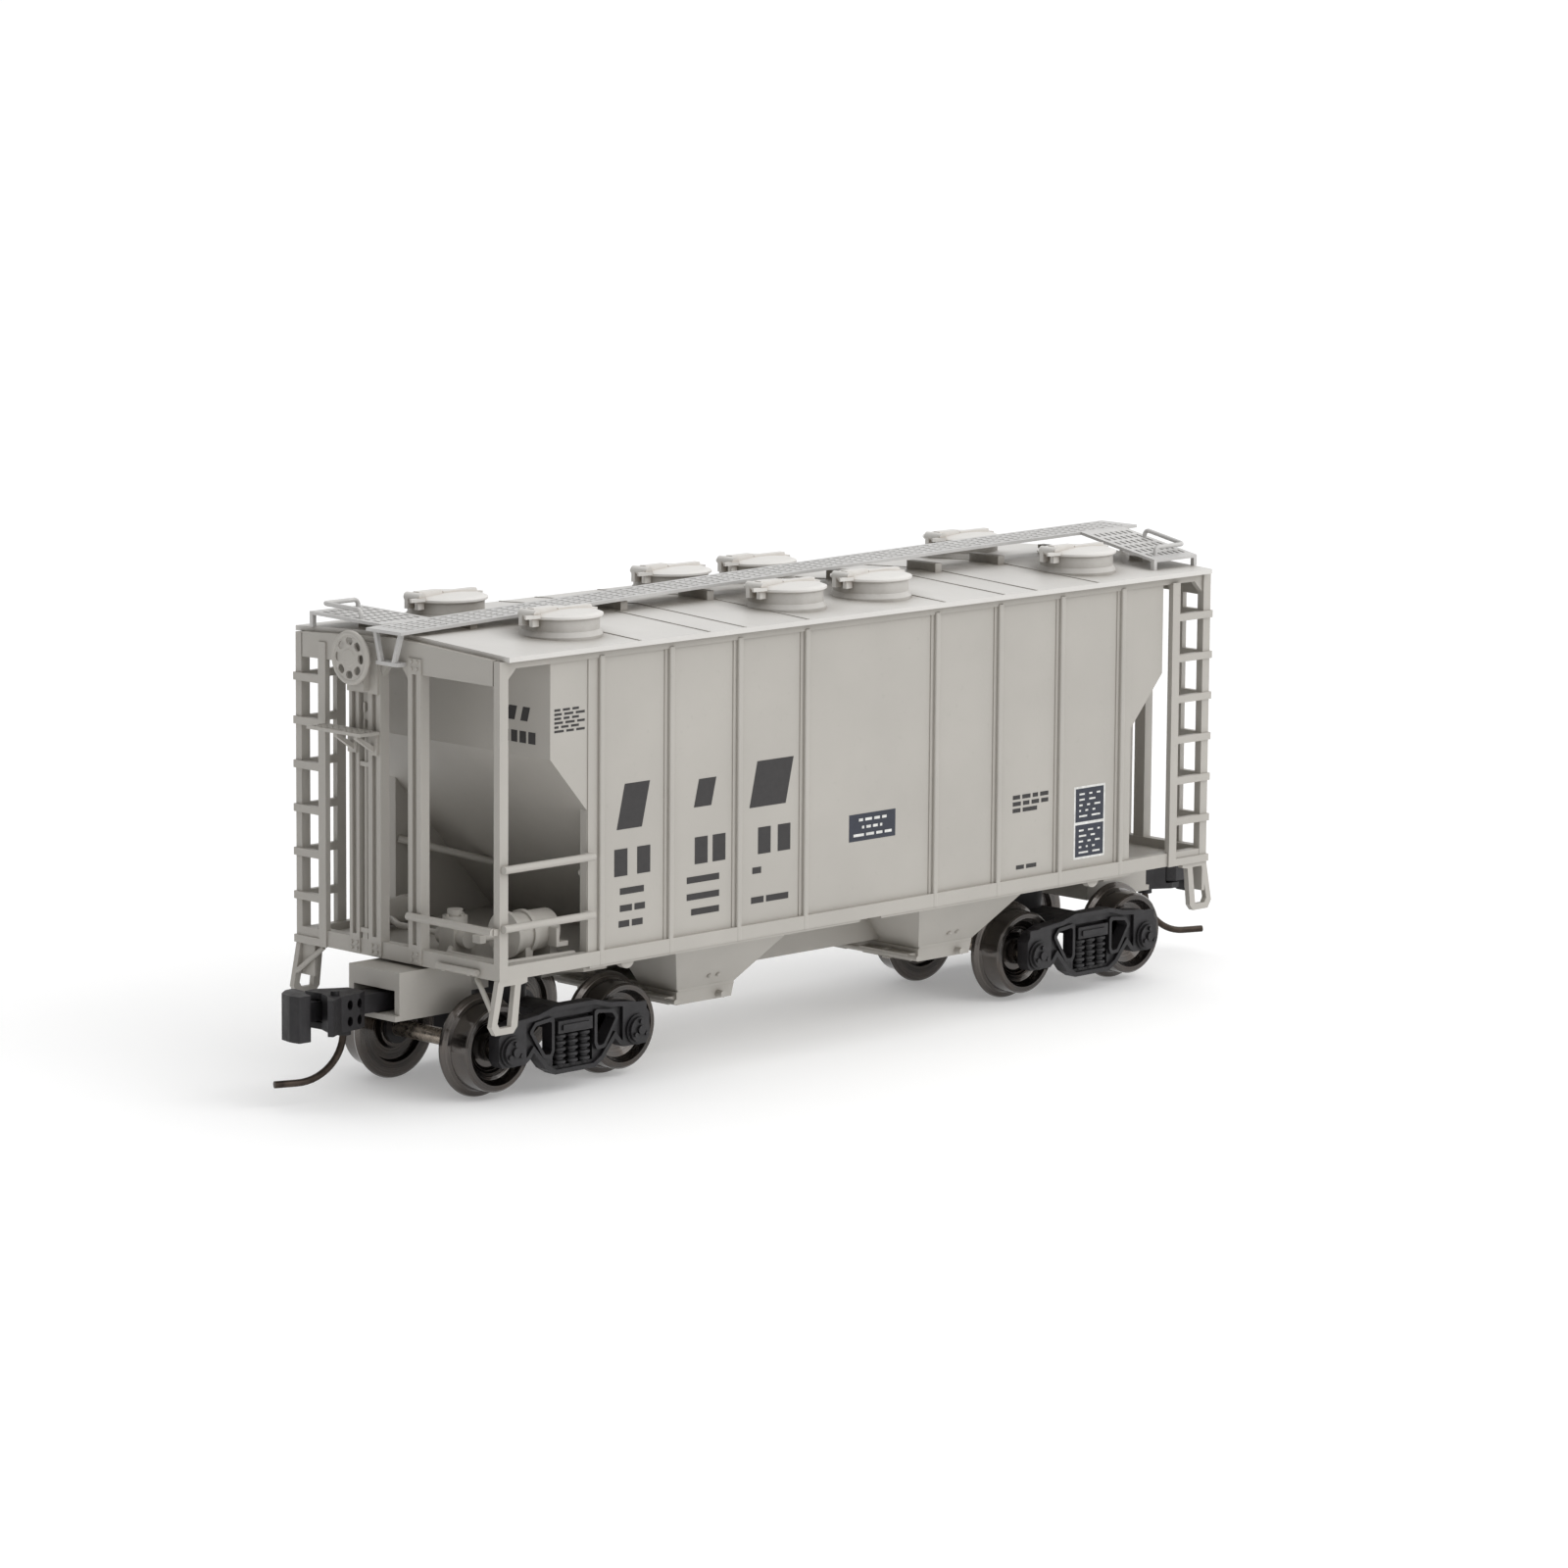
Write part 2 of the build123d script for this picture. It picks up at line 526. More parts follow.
with BuildPart() as underframe:
    # centre sill between the draft boxes
    block((-DRAFT_BOX_X[0] - 0.2, DRAFT_BOX_X[0] + 0.2), (-CENTRE_SILL_Y, CENTRE_SILL_Y),
          (CENTRE_SILL_Z, SILL_Z))
    block((-8.6, 8.6), (-2.0, 2.0), (5.1, SILL_Z))
    for end in (-1, 1):
        block(sorted((end * (FRAME_X - 0.7), end * PANEL_END_X)), (-9.02, 9.02), FLOOR_Z)
        block(sorted((end * PANEL_END_X, end * -slope_x(FLOOR_Z[1]))), (SHEET - SIDE_Y, SIDE_Y - SHEET),
              FLOOR_Z)
        # draft box, open to the front and below
        block(sorted((end * DRAFT_BOX_X[0], end * DRAFT_BOX_X[1])), (-DRAFT_BOX_Y, DRAFT_BOX_Y),
              DRAFT_BOX_Z)
        block(sorted((end * DRAFT_BOX_X[0], end * (FRAME_X - 0.7))), (-CENTRE_SILL_Y, CENTRE_SILL_Y),
              (DRAFT_BOX_Z[1], SILL_Z))
        cavity_y = DRAFT_BOX_Y - DRAFT_WALL
        block(sorted((end * (DRAFT_BOX_X[0] + DRAFT_WALL / 2), end * (DRAFT_BOX_X[1] + 0.1))),
              (-cavity_y, cavity_y), (DRAFT_BOX_Z[0], DRAFT_ROOF_Z), mode=Mode.SUBTRACT)
        # body bolster, deeper at the middle
        with BuildSketch(Plane.YZ.offset(end * TRUCK_X - 1.0)):
            with BuildLine():
                Polyline((-9.0, SILL_Z), (-9.0, SILL_Z - 0.45), (-2.6, 7.3), (-1.8, CENTRE_PLATE_Z),
                         (1.8, CENTRE_PLATE_Z), (2.6, 7.3), (9.0, SILL_Z - 0.45), (9.0, SILL_Z),
                         close=True)
            make_face()
        extrude(amount=2.0)
        # the centre sill is cut away over the truck, and has a screw hole
        block((end * TRUCK_X - 2.3, end * TRUCK_X + 2.3), (-2.0, 2.0), (5.0, CENTRE_PLATE_Z),
              mode=Mode.SUBTRACT)
        with Locations((end * TRUCK_X, 0, 7.5)):
            Cylinder(SCREW_HOLE_R, 2.2, mode=Mode.SUBTRACT)
        # jacking pads under the side sills
        for side in (-1, 1):
            with BuildSketch(Plane.XZ.offset(-side * 9.1)):
                with BuildLine():
                    pad_x = end * 21.9
                    ThreePointArc((pad_x - 0.6, SILL_Z), (pad_x, SILL_Z - 0.6), (pad_x + 0.6, SILL_Z))
                    Line((pad_x + 0.6, SILL_Z), (pad_x - 0.6, SILL_Z))
                make_face()
            extrude(amount=0.25, both=True)
            # narrow lower flange along the side sill
            block(sorted((end * 1.0, end * (PANEL_END_X - 0.1))), sorted((side * 8.9, side * 9.55)),
                  (SILL_Z - 0.16, SILL_Z))
    # pivot posts for the couplers, and holes in them for the cover screws
    for end in (-1, 1):
        post_z = DRAFT_ROOF_Z - DRAFT_BOX_Z[0]
        with Locations((end * COUPLER_PIVOT_X, 0, DRAFT_BOX_Z[0] + post_z / 2)):
            Cylinder(COUPLER_PIVOT_R, post_z)
        with Locations((end * COUPLER_PIVOT_X, 0, DRAFT_BOX_Z[0] + 0.9)):
            Cylinder(0.3, 1.9, mode=Mode.SUBTRACT)
save(underframe.part, "underframe")

# ---------------------------------------------------------------- hopper bays and gates
with BuildPart() as hopper_bay:
    with BuildSketch(Plane.XY.offset(SILL_Z - 0.02)):
        Rectangle(2 * BAY_TOP[0], 2 * BAY_TOP[1])
    with BuildSketch(Plane.XY.offset(OUTLET_Z)):
        Rectangle(2 * BAY_BOTTOM[0], 2 * BAY_BOTTOM[1])
    loft()
    # small ribs and bolt heads low on the outer sheets
    for side in (-1, 1):
        with Locations((0, side * BAY_BOTTOM[1], OUTLET_Z + 0.1)):
            Box(2 * BAY_BOTTOM[0] + 0.1, 0.25, 0.2)
        for x in (-0.3, 0.5):
            with Locations((x, side * (BAY_BOTTOM[1] + 0.72), OUTLET_Z + 0.9)):
                Sphere(0.16)
    # room for the centre sill
    block((-BAY_TOP[0], BAY_TOP[0]), (-2.0, 2.0), (5.1, SILL_Z), mode=Mode.SUBTRACT)
for end, name in ((-1, "b"), (1, "a")):
    bay = Location((end * BAY_X, 0, 0)) * hopper_bay.part
    with BuildPart() as trimmed:
        add(bay)
        block(sorted((0, end * 8.6)), (-2.0, 2.0), (5.05, SILL_Z), mode=Mode.SUBTRACT)
        block(sorted((0, end * 20)), (-CENTRE_SILL_Y, CENTRE_SILL_Y), (CENTRE_SILL_Z, SILL_Z),
              mode=Mode.SUBTRACT)
    save(trimmed.part, f"hopper_bay_{name}")

with BuildPart() as outlet_gates:
    for end in (-1, 1):
        x = end * BAY_X
        # frame that tapers slightly, with the sliding gate's rails across it
        with BuildSketch(Plane.XY.offset(OUTLET_Z)):
            with Locations((x, 0)):
                Rectangle(2 * BAY_BOTTOM[0] + 0.2, 2 * BAY_BOTTOM[1] + 0.15)
        extrude(amount=-(OUTLET_Z - GATE_Z), taper=8)
        for side in (-1, 1):
            for reach, z in ((0.55, 4.15), (0.9, 4.45)):
                block((x - BAY_BOTTOM[0] - reach, x - BAY_BOTTOM[0] + 0.2),
                      sorted((side * 0.8, side * 5.3)), (z - 0.1, z + 0.1))
            # operating shaft ends and their square sockets
            with Locations(Location((x + 1.2, side * 5.6, GATE_Z + 0.35), (90, 0, 0))):
                Cylinder(0.22, 0.9)
            with Locations((x - 2.9, side * 3.0, 4.3)):
                Box(0.5, 0.5, 0.7)
        with Locations(Location((x - BAY_BOTTOM[0] - 0.75, 0, 4.35), (90, 0, 0))):
            Cylinder(0.17, 12.4)
save(outlet_gates.part, "outlet_gates")

# ---------------------------------------------------------------- brake gear on the B end
HOUSING_X = (-FRAME_X - 0.75, -FRAME_X - 0.12)
BRAKE_WHEEL_X = -34.35
with BuildPart() as brake_gear_housing:
    block((-FRAME_X - 0.25, -FRAME_X - 0.12), (1.5, 4.4), (25.5, 28.75))
    with BuildSketch(Plane.YZ.offset(HOUSING_X[0])):
        with Locations((BRAKE_Y, BRAKE_WHEEL_Z)):
            Circle(1.0)
        panel((BRAKE_Y - 0.75, BRAKE_Y + 0.75), (25.7, BRAKE_WHEEL_Z))
    extrude(amount=HOUSING_X[1] - HOUSING_X[0])
    with Locations(Location((-34.2, BRAKE_Y, BRAKE_WHEEL_Z), (0, 90, 0))):
        Cylinder(0.2, 0.7)
save(brake_gear_housing.part, "brake_gear_housing")

with BuildPart() as brake_wheel:
    # rim, dished spokes and hub
    with BuildSketch(Plane.XY):
        with Locations((BRAKE_WHEEL_R - 0.19, 0)):
            Circle(0.19)
    revolve(axis=Axis.Y)
    with BuildSketch(Plane.XY):
        with BuildLine():
            Polyline((0.2, -0.22), (0.5, -0.22), (0.6, -0.05), (1.45, 0.05), (1.6, 0.0), (1.6, 0.12),
                     (0.6, 0.14), (0.5, 0.2), (0.2, 0.2), close=True)
        make_face()
    revolve(axis=Axis.Y)
    # eight holes round the dish
    with BuildSketch(Plane.XZ):
        with PolarLocations(1.07, 8):
            SlotOverall(0.62, 0.5, rotation=90)
    extrude(amount=1, both=True, mode=Mode.SUBTRACT)
wheel_place = Location((BRAKE_WHEEL_X, BRAKE_Y, BRAKE_WHEEL_Z))
save(wheel_place * (Rotation(0, 0, 90) * brake_wheel.part), "brake_wheel")

with BuildPart() as brake_platform:
    platform_x, platform_y, deck = (-35.0, -33.35), (1.4, 6.55), (22.95, 23.15)
    block(platform_x, platform_y, deck)
    with BuildSketch(Plane.XY.offset(22.6)):
        with Locations((sum(platform_x) / 2, sum(platform_y) / 2)):
            with GridLocations(0.48, 0.6, 3, 8):
                Rectangle(0.3, 0.42)
    extrude(amount=1, mode=Mode.SUBTRACT)
    # two sloping brackets back to the posts, each with a foot that is bolted to its post
    for y in (1.95, 3.9):
        with BuildSketch(Plane.XZ.offset(-y)):
            with BuildLine():
                Polyline((-34.9, 23.0), (-33.33, 22.1), (-33.33, 21.7), (-34.9, 22.75), close=True)
            make_face()
        extrude(amount=0.17, both=True)
        block((-33.5, -33.32), (y - 0.4, y + 0.4), (21.6, 23.0))
save(brake_platform.part, "brake_platform")

with BuildPart() as brake_rod:
    add(rod([(-33.0, BRAKE_Y, 23.25), (-33.0, BRAKE_Y, 9.9)], 0.17))
    # chain links between the housing and the rod
    for n in range(4):
        link = (0.5, 0.16) if n % 2 else (0.16, 0.5)
        with Locations((-33.0, BRAKE_Y, 25.1 - n * 0.55)):
            Box(*link, 0.62)
    with Locations((-33.0, BRAKE_Y, 20.9), (-33.0, BRAKE_Y, 10.2)):
        Box(0.5, 0.82, 0.3)
    with Locations((-33.0, BRAKE_Y, SILL_TOP_Z + 0.4)):
        Box(0.4, 0.5, 0.5)
save(brake_rod.part, "brake_rod")

# ---------------------------------------------------------------- air brake gear on the B platform
CYLINDER_AXIS = (-6.4, 10.75)           # y, z
with BuildPart() as brake_cylinder:
    along = Plane(origin=(-29.6, *CYLINDER_AXIS), x_dir=(0, 1, 0), z_dir=(1, 0, 0))
    with BuildSketch(along):
        Circle(1.3)
    extrude(amount=3.4)
    with BuildSketch(along.offset(-0.25)):
        Circle(1.5)
    extrude(amount=0.3)
    with BuildSketch(along.offset(1.15)):
        Circle(1.44)
    extrude(amount=0.35)
    with BuildSketch(along.offset(3.4)):
        Circle(0.8)
    extrude(amount=0.35, taper=20)
    # piston rod and clevis towards the end of the car
    with BuildSketch(along.offset(-2.3)):
        Circle(0.22)
    extrude(amount=2.1)
    block((-32.2, -31.7), (-6.75, -6.05), (10.5, 11.0))
    # mounting feet and the bracket at the back
    block((-28.9, -28.3), (-7.4, -5.4), (FLOOR_Z[1], 10.2))
    block((-27.0, -26.4), (-7.6, -5.2), (FLOOR_Z[1], 10.4))
    block((-27.2, -26.2), (-8.4, -7.5), (9.9, 10.2))
    block((-27.2, -26.95), (-8.4, -7.5), (9.9, 11.1))
save(brake_cylinder.part, "brake_cylinder")

RESERVOIR_AXIS = (7.3, 10.1)            # y, z
RESERVOIR_R = 0.9
with BuildPart() as air_reservoir:
    along = Plane(origin=(-29.4, *RESERVOIR_AXIS), x_dir=(0, 1, 0), z_dir=(1, 0, 0))
    with BuildSketch(along):
        Circle(RESERVOIR_R)
    extrude(amount=4.4)
    fillet(air_reservoir.edges().filter_by(GeomType.CIRCLE), 0.3)
    for x in (-28.6, -25.9):
        block((x - 0.25, x + 0.25), (6.6, 8.0), (FLOOR_Z[1], 9.8))
        with BuildSketch(Plane.YZ.offset(x - 0.15)):
            with Locations(RESERVOIR_AXIS):
                Circle(RESERVOIR_R + 0.08)
        extrude(amount=0.3)
save(air_reservoir.part, "air_reservoir")

VALVE_XY = (-30.2, -2.2)
with BuildPart() as control_valve:
    # pipe bracket, the two valve bodies on its sides, and the dome with its ring of bolts
    valve_x, valve_y = VALVE_XY
    block((valve_x - 0.75, valve_x + 0.75), (valve_y - 0.7, valve_y + 0.7), (FLOOR_Z[1], 10.9))
    with Locations((valve_x, valve_y, 11.15)):
        Cylinder(0.8, 0.7)
    with Locations((valve_x, valve_y, 11.65)):
        Cylinder(0.5, 0.5)
    for turn, reach in ((-1, 0.75), (1, 0.6)):
        with Locations(Location((valve_x, valve_y + turn * (0.65 + reach / 2), 10.15), (90, 0, 0))):
            Cylinder(0.62, reach)
    with Locations(Location((valve_x + 0.9, valve_y, 10.2), (0, 90, 0))):
        Cylinder(0.36, 0.5)
    bolt_angles = [radians(a) for a in range(0, 360, 90)]
    with Locations(*[(valve_x + 0.64 * cos(a), valve_y + 0.64 * sin(a), 11.52) for a in bolt_angles]):
        Cylinder(0.11, 0.16)
save(control_valve.part, "control_valve")

PIPE_R = 0.2
with BuildPart() as brake_pipes:
    routes = (
        # to the brake cylinder
        [(-29.1, -2.2, 10.2), (-27.6, -2.2, 10.2), (-27.6, -4.4, 10.2), (-27.6, -5.3, 10.6)],
        # to the air reservoir
        [(-30.2, -0.95, 10.15), (-30.2, 3.2, 10.15), (-29.0, 5.2, 10.1), (-29.0, 6.6, 10.1)],
        # train line
        [(-30.9, -2.6, 9.5), (-31.8, -3.4, 9.4), (-31.8, -8.4, 9.4), (-26.0, -8.7, 9.4)],
    )
    for route in routes:
        add(rod(route, PIPE_R, bend=0.4))
    # braces between the slope sheets and the side sheets
    for side in (-1, 1):
        add(rod([(-25.3, side * 8.7, 14.5), (slope_x(12.9) - 0.1, side * 4.6, 12.9)], 0.24))
save(brake_pipes.part, "brake_pipes")

# ---------------------------------------------------------------- uncoupling levers
with BuildPart() as uncoupling_lever:
    add(rod([(-33.45, -7.9, 8.95), (-33.45, -4.1, 8.95)], 0.2))
    for y in (-7.2, -4.8):
        block((-33.6, -33.2), (y - 0.15, y + 0.15), (8.7, 9.1))
with BuildPart() as uncoupling_levers:
    add(uncoupling_lever.part)
    add(HALF_TURN * uncoupling_lever.part)
save(uncoupling_levers.part, "uncoupling_levers")

# ---------------------------------------------------------------- ballast
with BuildPart() as ballast_weight:
    block((-15.0, 15.0), (-8.3, 8.3), (SILL_Z + SHEET, SILL_Z + SHEET + 1.6))
save(ballast_weight.part, "ballast_weight")

# ---------------------------------------------------------------- coupler box covers and screws
with BuildPart() as coupler_box_cover:
    cover_z = (DRAFT_BOX_Z[0] - COVER_THICK, DRAFT_BOX_Z[0])
    block((-DRAFT_BOX_X[1] - 0.35, -DRAFT_BOX_X[0]), (-DRAFT_BOX_Y, DRAFT_BOX_Y), cover_z)
    with Locations((-COUPLER_PIVOT_X, 0, cover_z[0])):
        Cylinder(0.36, 1.2, mode=Mode.SUBTRACT)
with BuildPart() as coupler_box_covers:
    add(coupler_box_cover.part)
    add(HALF_TURN * coupler_box_cover.part)
save(coupler_box_covers.part, "coupler_box_covers")


def screw(head_r, head_h, shank_r, length):
    """A cross-slotted pan head screw, head down, with its shank rising from z = 0."""
    with BuildPart() as fastener:
        with Locations((0, 0, length / 2)):
            Cylinder(shank_r, length)
        with BuildSketch():
            Circle(head_r)
        extrude(amount=-head_h, taper=12)
        for size in ((head_r * 1.3, head_r * 0.28), (head_r * 0.28, head_r * 1.3)):
            with Locations((0, 0, -head_h)):
                Box(*size, head_h * 0.8, mode=Mode.SUBTRACT)
    return fastener.part


with BuildPart() as coupler_screws:
    for end in (-1, 1):
        place = Location((end * COUPLER_PIVOT_X, 0, DRAFT_BOX_Z[0] - COVER_THICK))
        add(place * screw(0.7, 0.35, 0.3, 1.25))
save(coupler_screws.part, "coupler_box_screws")

SCREW_RECESS = 0.6
TRUCK_SCREW_HEAD_R = 1.2
TRUCK_SCREW_HEAD_Z = BOLSTER_Z[0] + SCREW_RECESS - RUNNING_GAP
with BuildPart() as truck_screw:
    shoulder = CENTRE_PLATE_Z - TRUCK_SCREW_HEAD_Z
    add(Location((0, 0, TRUCK_SCREW_HEAD_Z)) * screw(TRUCK_SCREW_HEAD_R, 0.55, TRUCK_SCREW_R, shoulder))
    with Locations((0, 0, CENTRE_PLATE_Z + 0.7)):
        Cylinder(SCREW_HOLE_R, 1.4)
with BuildPart() as truck_screws:
    for end in (-1, 1):
        add(Location((end * TRUCK_X, 0, 0)) * truck_screw.part)
save(truck_screws.part, "truck_screws")

# ---------------------------------------------------------------- trucks
BEARING_X = WHEELBASE / 2
SPRING_R = 0.44
BEARING_R = 1.0


def sideframe_outline():
    """Half of the sideframe's outline, from the middle of the top to the middle of the bottom."""
    return [(0, TRUCK_TOP_Z), (1.8, TRUCK_TOP_Z), (3.1, 5.4), (5.2, 5.2), (6.1, 4.9), (6.55, 4.3),
            (6.55, 2.8), (6.25, 2.35), (4.3, 2.35), (3.9, 2.6), (3.55, 3.0), (3.1, 2.5), (2.5, 1.8),
            (1.7, TRUCK_BOTTOM_Z), (0, TRUCK_BOTTOM_Z)]


def sideframe():
    """The sideframe on the -Y side of a truck that is centred on x = 0."""
    half = sideframe_outline()
    outline = half + [(-x, z) for x, z in reversed(half[1:-1])]
    windows = [(1.98, 4.85), (3.3, 4.7), (3.6, 4.35), (2.55, 2.75), (2.1, 2.7), (1.98, 2.95)]
    outer = Plane.XZ.offset(SIDEFRAME_IN_Y)
    with BuildPart() as frame:
        with BuildSketch(outer):
            with BuildLine():
                Polyline(*outline, close=True)
            make_face()
        extrude(amount=SIDEFRAME_OUT_Y - SIDEFRAME_IN_Y)
        # raised rib round the outline
        with BuildSketch(Plane.XZ.offset(SIDEFRAME_OUT_Y)):
            with BuildLine():
                Polyline(*outline, close=True)
            make_face()
            offset(amount=-0.3, kind=Kind.INTERSECTION, mode=Mode.SUBTRACT)
            panel((-6.3, -4.2), (2.4, 5.1))
            panel((4.2, 6.3), (2.4, 5.1))
        extrude(amount=SIDEFRAME_RIB)
        # windows with a rib round them
        for turn in (-1, 1):
            corners = [(turn * x, z) for x, z in windows]
            with BuildSketch(Plane.XZ.offset(SIDEFRAME_OUT_Y - 0.05)):
                with BuildLine():
                    Polyline(*corners, close=True)
                make_face()
                offset(amount=0.24, kind=Kind.ARC)
            extrude(amount=SIDEFRAME_RIB + 0.02)
            with BuildSketch(Plane.XZ.offset(SIDEFRAME_IN_Y - 0.1)):
                with BuildLine():
                    Polyline(*corners, close=True)
                make_face()
                fillet(vertices(), 0.18)
            extrude(amount=2, mode=Mode.SUBTRACT)
        # spring pocket with the bolster end above three springs
        block((-1.72, 1.72), (-8, -SIDEFRAME_IN_Y - 0.35), (1.85, 4.95), mode=Mode.SUBTRACT)
        block((-1.5, 1.5), (-7.2, -SIDEFRAME_IN_Y), (3.95, 4.75))
        block((-1.15, 1.15), (-7.32, -SIDEFRAME_IN_Y), (4.15, 4.5))
        for x in (-1.05, 0, 1.05):
            with Locations((x, -6.72, 2.9)):
                Cylinder(SPRING_R - 0.14, 2.3)
            with Locations(*[(x, -6.72, 2.05 + n * 0.42) for n in range(5)]):
                Torus(SPRING_R - 0.1, 0.14)
        # bearing adapters and end caps
        for x in (-BEARING_X, BEARING_X):
            for radius, y0, y1 in ((BEARING_R, SIDEFRAME_IN_Y, 7.3), (0.82, 7.3, 7.5), (0.3, 7.5, 7.68)):
                with Locations(Location((x, -(y0 + y1) / 2, AXLE_Z), (90, 0, 0))):
                    Cylinder(radius, y1 - y0)
            for a in (90, 210, 330):
                bolt = (x + 0.55 * cos(radians(a)), -7.55, AXLE_Z + 0.55 * sin(radians(a)))
                with Locations(Location(bolt, (90, 0, 0))):
                    Cylinder(0.15, 0.22)
            # cone bearing for the axle's pointed end
            with BuildSketch(Plane.XY.offset(AXLE_Z)):
                with BuildLine():
                    mouth_x = x + JOURNAL_R + RUNNING_GAP
                    Polyline((x, -SIDEFRAME_IN_Y + 0.1), (mouth_x, -SIDEFRAME_IN_Y + 0.1),
                             (mouth_x, -6.62), (x + RUNNING_GAP, -AXLE_TIP_Y - RUNNING_GAP),
                             (x, -AXLE_TIP_Y - RUNNING_GAP), close=True)
                make_face()
            revolve(axis=Axis((x, 0, AXLE_Z), (0, 1, 0)), mode=Mode.SUBTRACT)
    return frame.part


near_sideframe = sideframe()
with BuildPart() as sideframes:
    add(near_sideframe)
    add(HALF_TURN * near_sideframe)

with BuildPart() as truck_bolster:
    half_y = SIDEFRAME_IN_Y
    with BuildSketch(Plane.YZ.offset(-1.4)):
        with BuildLine():
            Polyline((-half_y, 4.2), (-half_y, 4.9), (-4.4, BOLSTER_Z[1]), (4.4, BOLSTER_Z[1]),
                     (half_y, 4.9), (half_y, 4.2), (3.0, BOLSTER_Z[0]), (-3.0, BOLSTER_Z[0]), close=True)
        make_face()
    extrude(amount=2.8)
    with Locations((0, 0, (BOLSTER_Z[1] + CENTRE_PLATE_Z - RUNNING_GAP) / 2)):
        Cylinder(1.75, CENTRE_PLATE_Z - RUNNING_GAP - BOLSTER_Z[1])
    with Locations((0, 0, 5.5)):
        Cylinder(TRUCK_SCREW_R + RUNNING_GAP, 4, mode=Mode.SUBTRACT)
    with Locations((0, 0, BOLSTER_Z[0] + SCREW_RECESS / 2)):
        Cylinder(TRUCK_SCREW_HEAD_R + 0.12, SCREW_RECESS, mode=Mode.SUBTRACT)
for end, name in ((-1, "b"), (1, "a")):
    place = Location((end * TRUCK_X, 0, 0))
    save(place * sideframes.part, f"truck_sideframes_{name}")
    save(place * truck_bolster.part, f"truck_bolster_{name}")


# ---------------------------------------------------------------- wheelsets
def wheel(bore):
    """A wheel on the +Y side, its flange towards y = 0."""
    with BuildPart() as disc:
        with BuildSketch(Plane.XY):
            with BuildLine():
                Polyline((bore, 0), (1.3, 0), (1.45, 0.35), (2.15, 0.35), (2.3, 0), (3.12, 0),
                         (FLANGE_R - 0.08, 0.08), (FLANGE_R, 0.24), (FLANGE_R - 0.06, 0.4),
                         (2.98, 0.56), (TREAD_R + 0.02, 0.74), (TREAD_R - 0.05, 2.02), (2.68, WHEEL_WIDTH),
                         (2.38, WHEEL_WIDTH), (2.26, 1.85), (2.1, 1.55), (1.3, 1.15), (0.92, 1.15),
                         (0.85, 1.75), (bore, 1.75), close=True)
            make_face()
        revolve(axis=Axis.Y)
    return Location((0, WHEEL_BACK_Y, 0)) * disc.part


wheel_near = Rotation(0, 0, 180) * wheel(AXLE_R)
wheel_far = wheel(BUSH_R)
with BuildPart() as wheels:
    add(wheel_near)
    add(wheel_far)

with BuildPart() as axle:
    with BuildSketch(Plane.XY):
        with BuildLine():
            Polyline((0, -AXLE_TIP_Y), (JOURNAL_R, -6.6), (JOURNAL_R, -6.0), (AXLE_R, -5.85),
                     (AXLE_R, 5.85), (JOURNAL_R, 6.0), (JOURNAL_R, 6.6), (0, AXLE_TIP_Y), close=True)
        make_face()
    revolve(axis=Axis.Y)

with BuildPart() as bush:
    with BuildSketch(Plane.XY):
        with BuildLine():
            Polyline((AXLE_R, 3.6), (1.05, 3.6), (1.05, WHEEL_BACK_Y), (BUSH_R, WHEEL_BACK_Y),
                     (BUSH_R, 5.6), (AXLE_R, 5.6), close=True)
        make_face()
    revolve(axis=Axis.Y)

wheelset_xs = [end * TRUCK_X + side * BEARING_X for end in (-1, 1) for side in (-1, 1)]
for number, x in enumerate(wheelset_xs, 1):
    place = Location((x, 0, AXLE_Z))
    save(place * axle.part, f"axle_{number}")
    save(place * wheels.part, f"wheels_{number}")
    save(place * bush.part, f"insulating_bush_{number}")

# ---------------------------------------------------------------- couplers
SHANK_Z = (5.75, 6.95)
TRIP_PIN_R = 0.23
TRIP_PIN_X = -37.7
TRIP_PIN_TOP_Z = 5.25
HEAD_Z = (4.95, 7.25)
pin_x, pin_y = -KNUCKLE_PIN[0], -KNUCKLE_PIN[1]

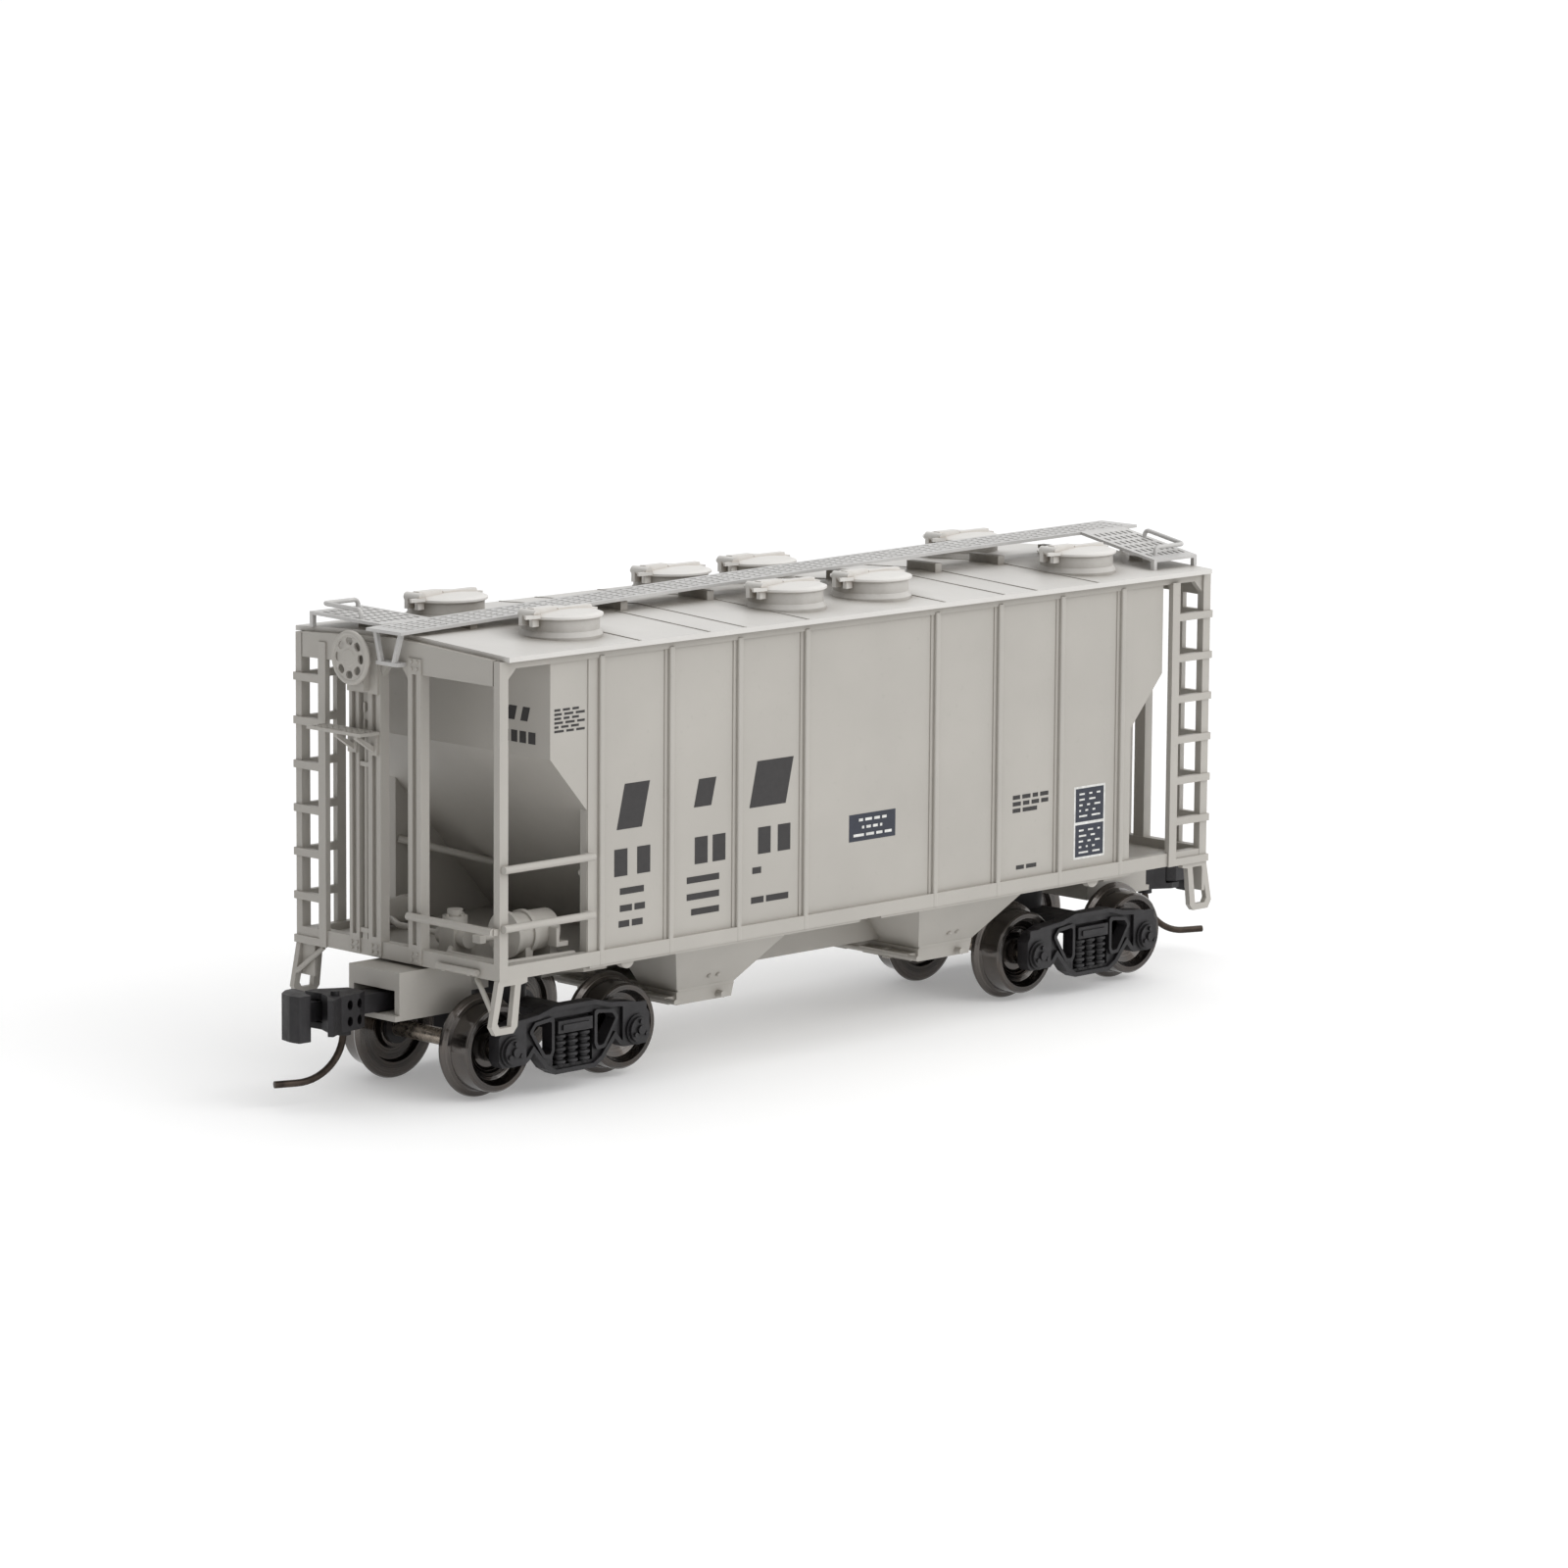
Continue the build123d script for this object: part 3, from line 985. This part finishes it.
with BuildPart() as coupler_head:
    # shank with its pivot eye
    block((-37.2, -COUPLER_PIVOT_X), (-0.75, 0.75), SHANK_Z)
    with Locations((-COUPLER_PIVOT_X, 0, sum(SHANK_Z) / 2)):
        Cylinder(1.15, SHANK_Z[1] - SHANK_Z[0])
        Cylinder(COUPLER_PIVOT_R + RUNNING_GAP, 2, mode=Mode.SUBTRACT)
    # head: a box that spreads into the guard arm on one side and the knuckle's jaws on the other
    with BuildSketch(Plane.XY.offset(HEAD_Z[0])):
        with BuildLine():
            Polyline((-36.6, -0.8), (-37.3, -1.15), (-39.0, -1.35), (-40.3, -2.05), (-40.5, -1.75),
                     (-39.6, -0.7), (-39.2, 0.35), (-39.35, 1.75), (-38.5, 1.85), (-37.3, 1.15),
                     (-36.6, 0.8), close=True)
        make_face()
    extrude(amount=HEAD_Z[1] - HEAD_Z[0])
    # slot between the jaws for the knuckle, and the pin that it turns on
    with Locations((pin_x, pin_y, sum(HEAD_Z) / 2)):
        Cylinder(1.0, 1.5, mode=Mode.SUBTRACT)
        Cylinder(KNUCKLE_PIN_R, 2.3)
    # lightening holes through the head
    with BuildSketch(Plane.XZ.offset(3)):
        with Locations((-38.2, 5.55), (-38.2, 6.6), (-37.3, 5.55), (-37.3, 6.6)):
            Ellipse(0.24, 0.32)
    extrude(amount=-2.4, mode=Mode.SUBTRACT)
    # boss that carries the trip pin, and the lock block on top
    with Locations((TRIP_PIN_X, 0, 4.75)):
        Cylinder(0.5, 0.5)
    with Locations((TRIP_PIN_X, 0, TRIP_PIN_TOP_Z / 2)):
        Cylinder(TRIP_PIN_R, TRIP_PIN_TOP_Z, mode=Mode.SUBTRACT)
    with Locations((-38.9, -0.6, HEAD_Z[1] + 0.12)):
        Cylinder(0.28, 0.3)
save_ends(coupler_head.part, "coupler_head")

KNUCKLE_Z = (4.55, 7.5)
TAIL_GAP = 0.12
with BuildPart() as knuckle:
    # hook-shaped knuckle, taller at its nose
    with BuildSketch(Plane.XY.offset(HEAD_Z[0] + 0.4 + TAIL_GAP)):
        with BuildLine():
            Polyline((-38.95, 0.5), (-38.3, 0.9), (-38.3, 1.5), (-38.8, 1.95), (-39.6, 1.95),
                     (-40.9, 1.75), (-41.85, 1.05), (-42.0, 0.1), (-41.9, -0.55), (-41.1, -0.55),
                     (-40.75, 0.1), (-40.3, 0.6), close=True)
        make_face()
    extrude(amount=HEAD_Z[1] - HEAD_Z[0] - 0.8 - 2 * TAIL_GAP)
    with BuildSketch(Plane.XY.offset(KNUCKLE_Z[0])):
        with BuildLine():
            Polyline((-40.2, 1.9), (-41.0, 1.75), (-41.85, 1.1), (-42.05, 0.1), (-41.95, -0.7), (-40.95, -0.75),
                     (-40.8, 0.0), (-40.3, 0.7), close=True)
        make_face()
        fillet(vertices(), 0.18)
    extrude(amount=KNUCKLE_Z[1] - KNUCKLE_Z[0])
    with Locations((pin_x, pin_y, sum(HEAD_Z) / 2)):
        Cylinder(KNUCKLE_PIN_R + RUNNING_GAP, 3, mode=Mode.SUBTRACT)
save_ends(knuckle.part, "knuckle")

TRIP_BEND = 3.1
with BuildPart() as trip_pin:
    # down from the head, then out and to one side, with a straight tip
    out = Vector(-0.934, 0.357, 0)
    start = Vector(TRIP_PIN_X, 0, TRIP_PIN_TOP_Z)
    knee = Vector(TRIP_PIN_X, 0, 4.7)
    low = Vector(TRIP_PIN_X, 0, 4.7 - TRIP_BEND) + out * TRIP_BEND
    with BuildLine() as path:
        Line(start, knee)
        TangentArc(knee, low, tangent=(0, 0, -1))
        Line(low, low + out * 1.5)
    with BuildSketch(Plane(origin=start, z_dir=(0, 0, -1))):
        Circle(TRIP_PIN_R)
    sweep()
save_ends(trip_pin.part, "trip_pin")

SPRING_X = -29.6
SPRING_TURNS = 9
with BuildPart() as coupler_spring:
    # centring spring behind the coupler's eye, wound round a thin guide pin
    with Locations(Location((SPRING_X, 0, sum(SHANK_Z) / 2), (90, 0, 0))):
        Cylinder(0.14, 2.5)
        with Locations(*[(0, 0, 0.3 * (n - (SPRING_TURNS - 1) / 2)) for n in range(SPRING_TURNS)]):
            Torus(0.19, 0.07)
save_ends(coupler_spring.part, "coupler_spring")
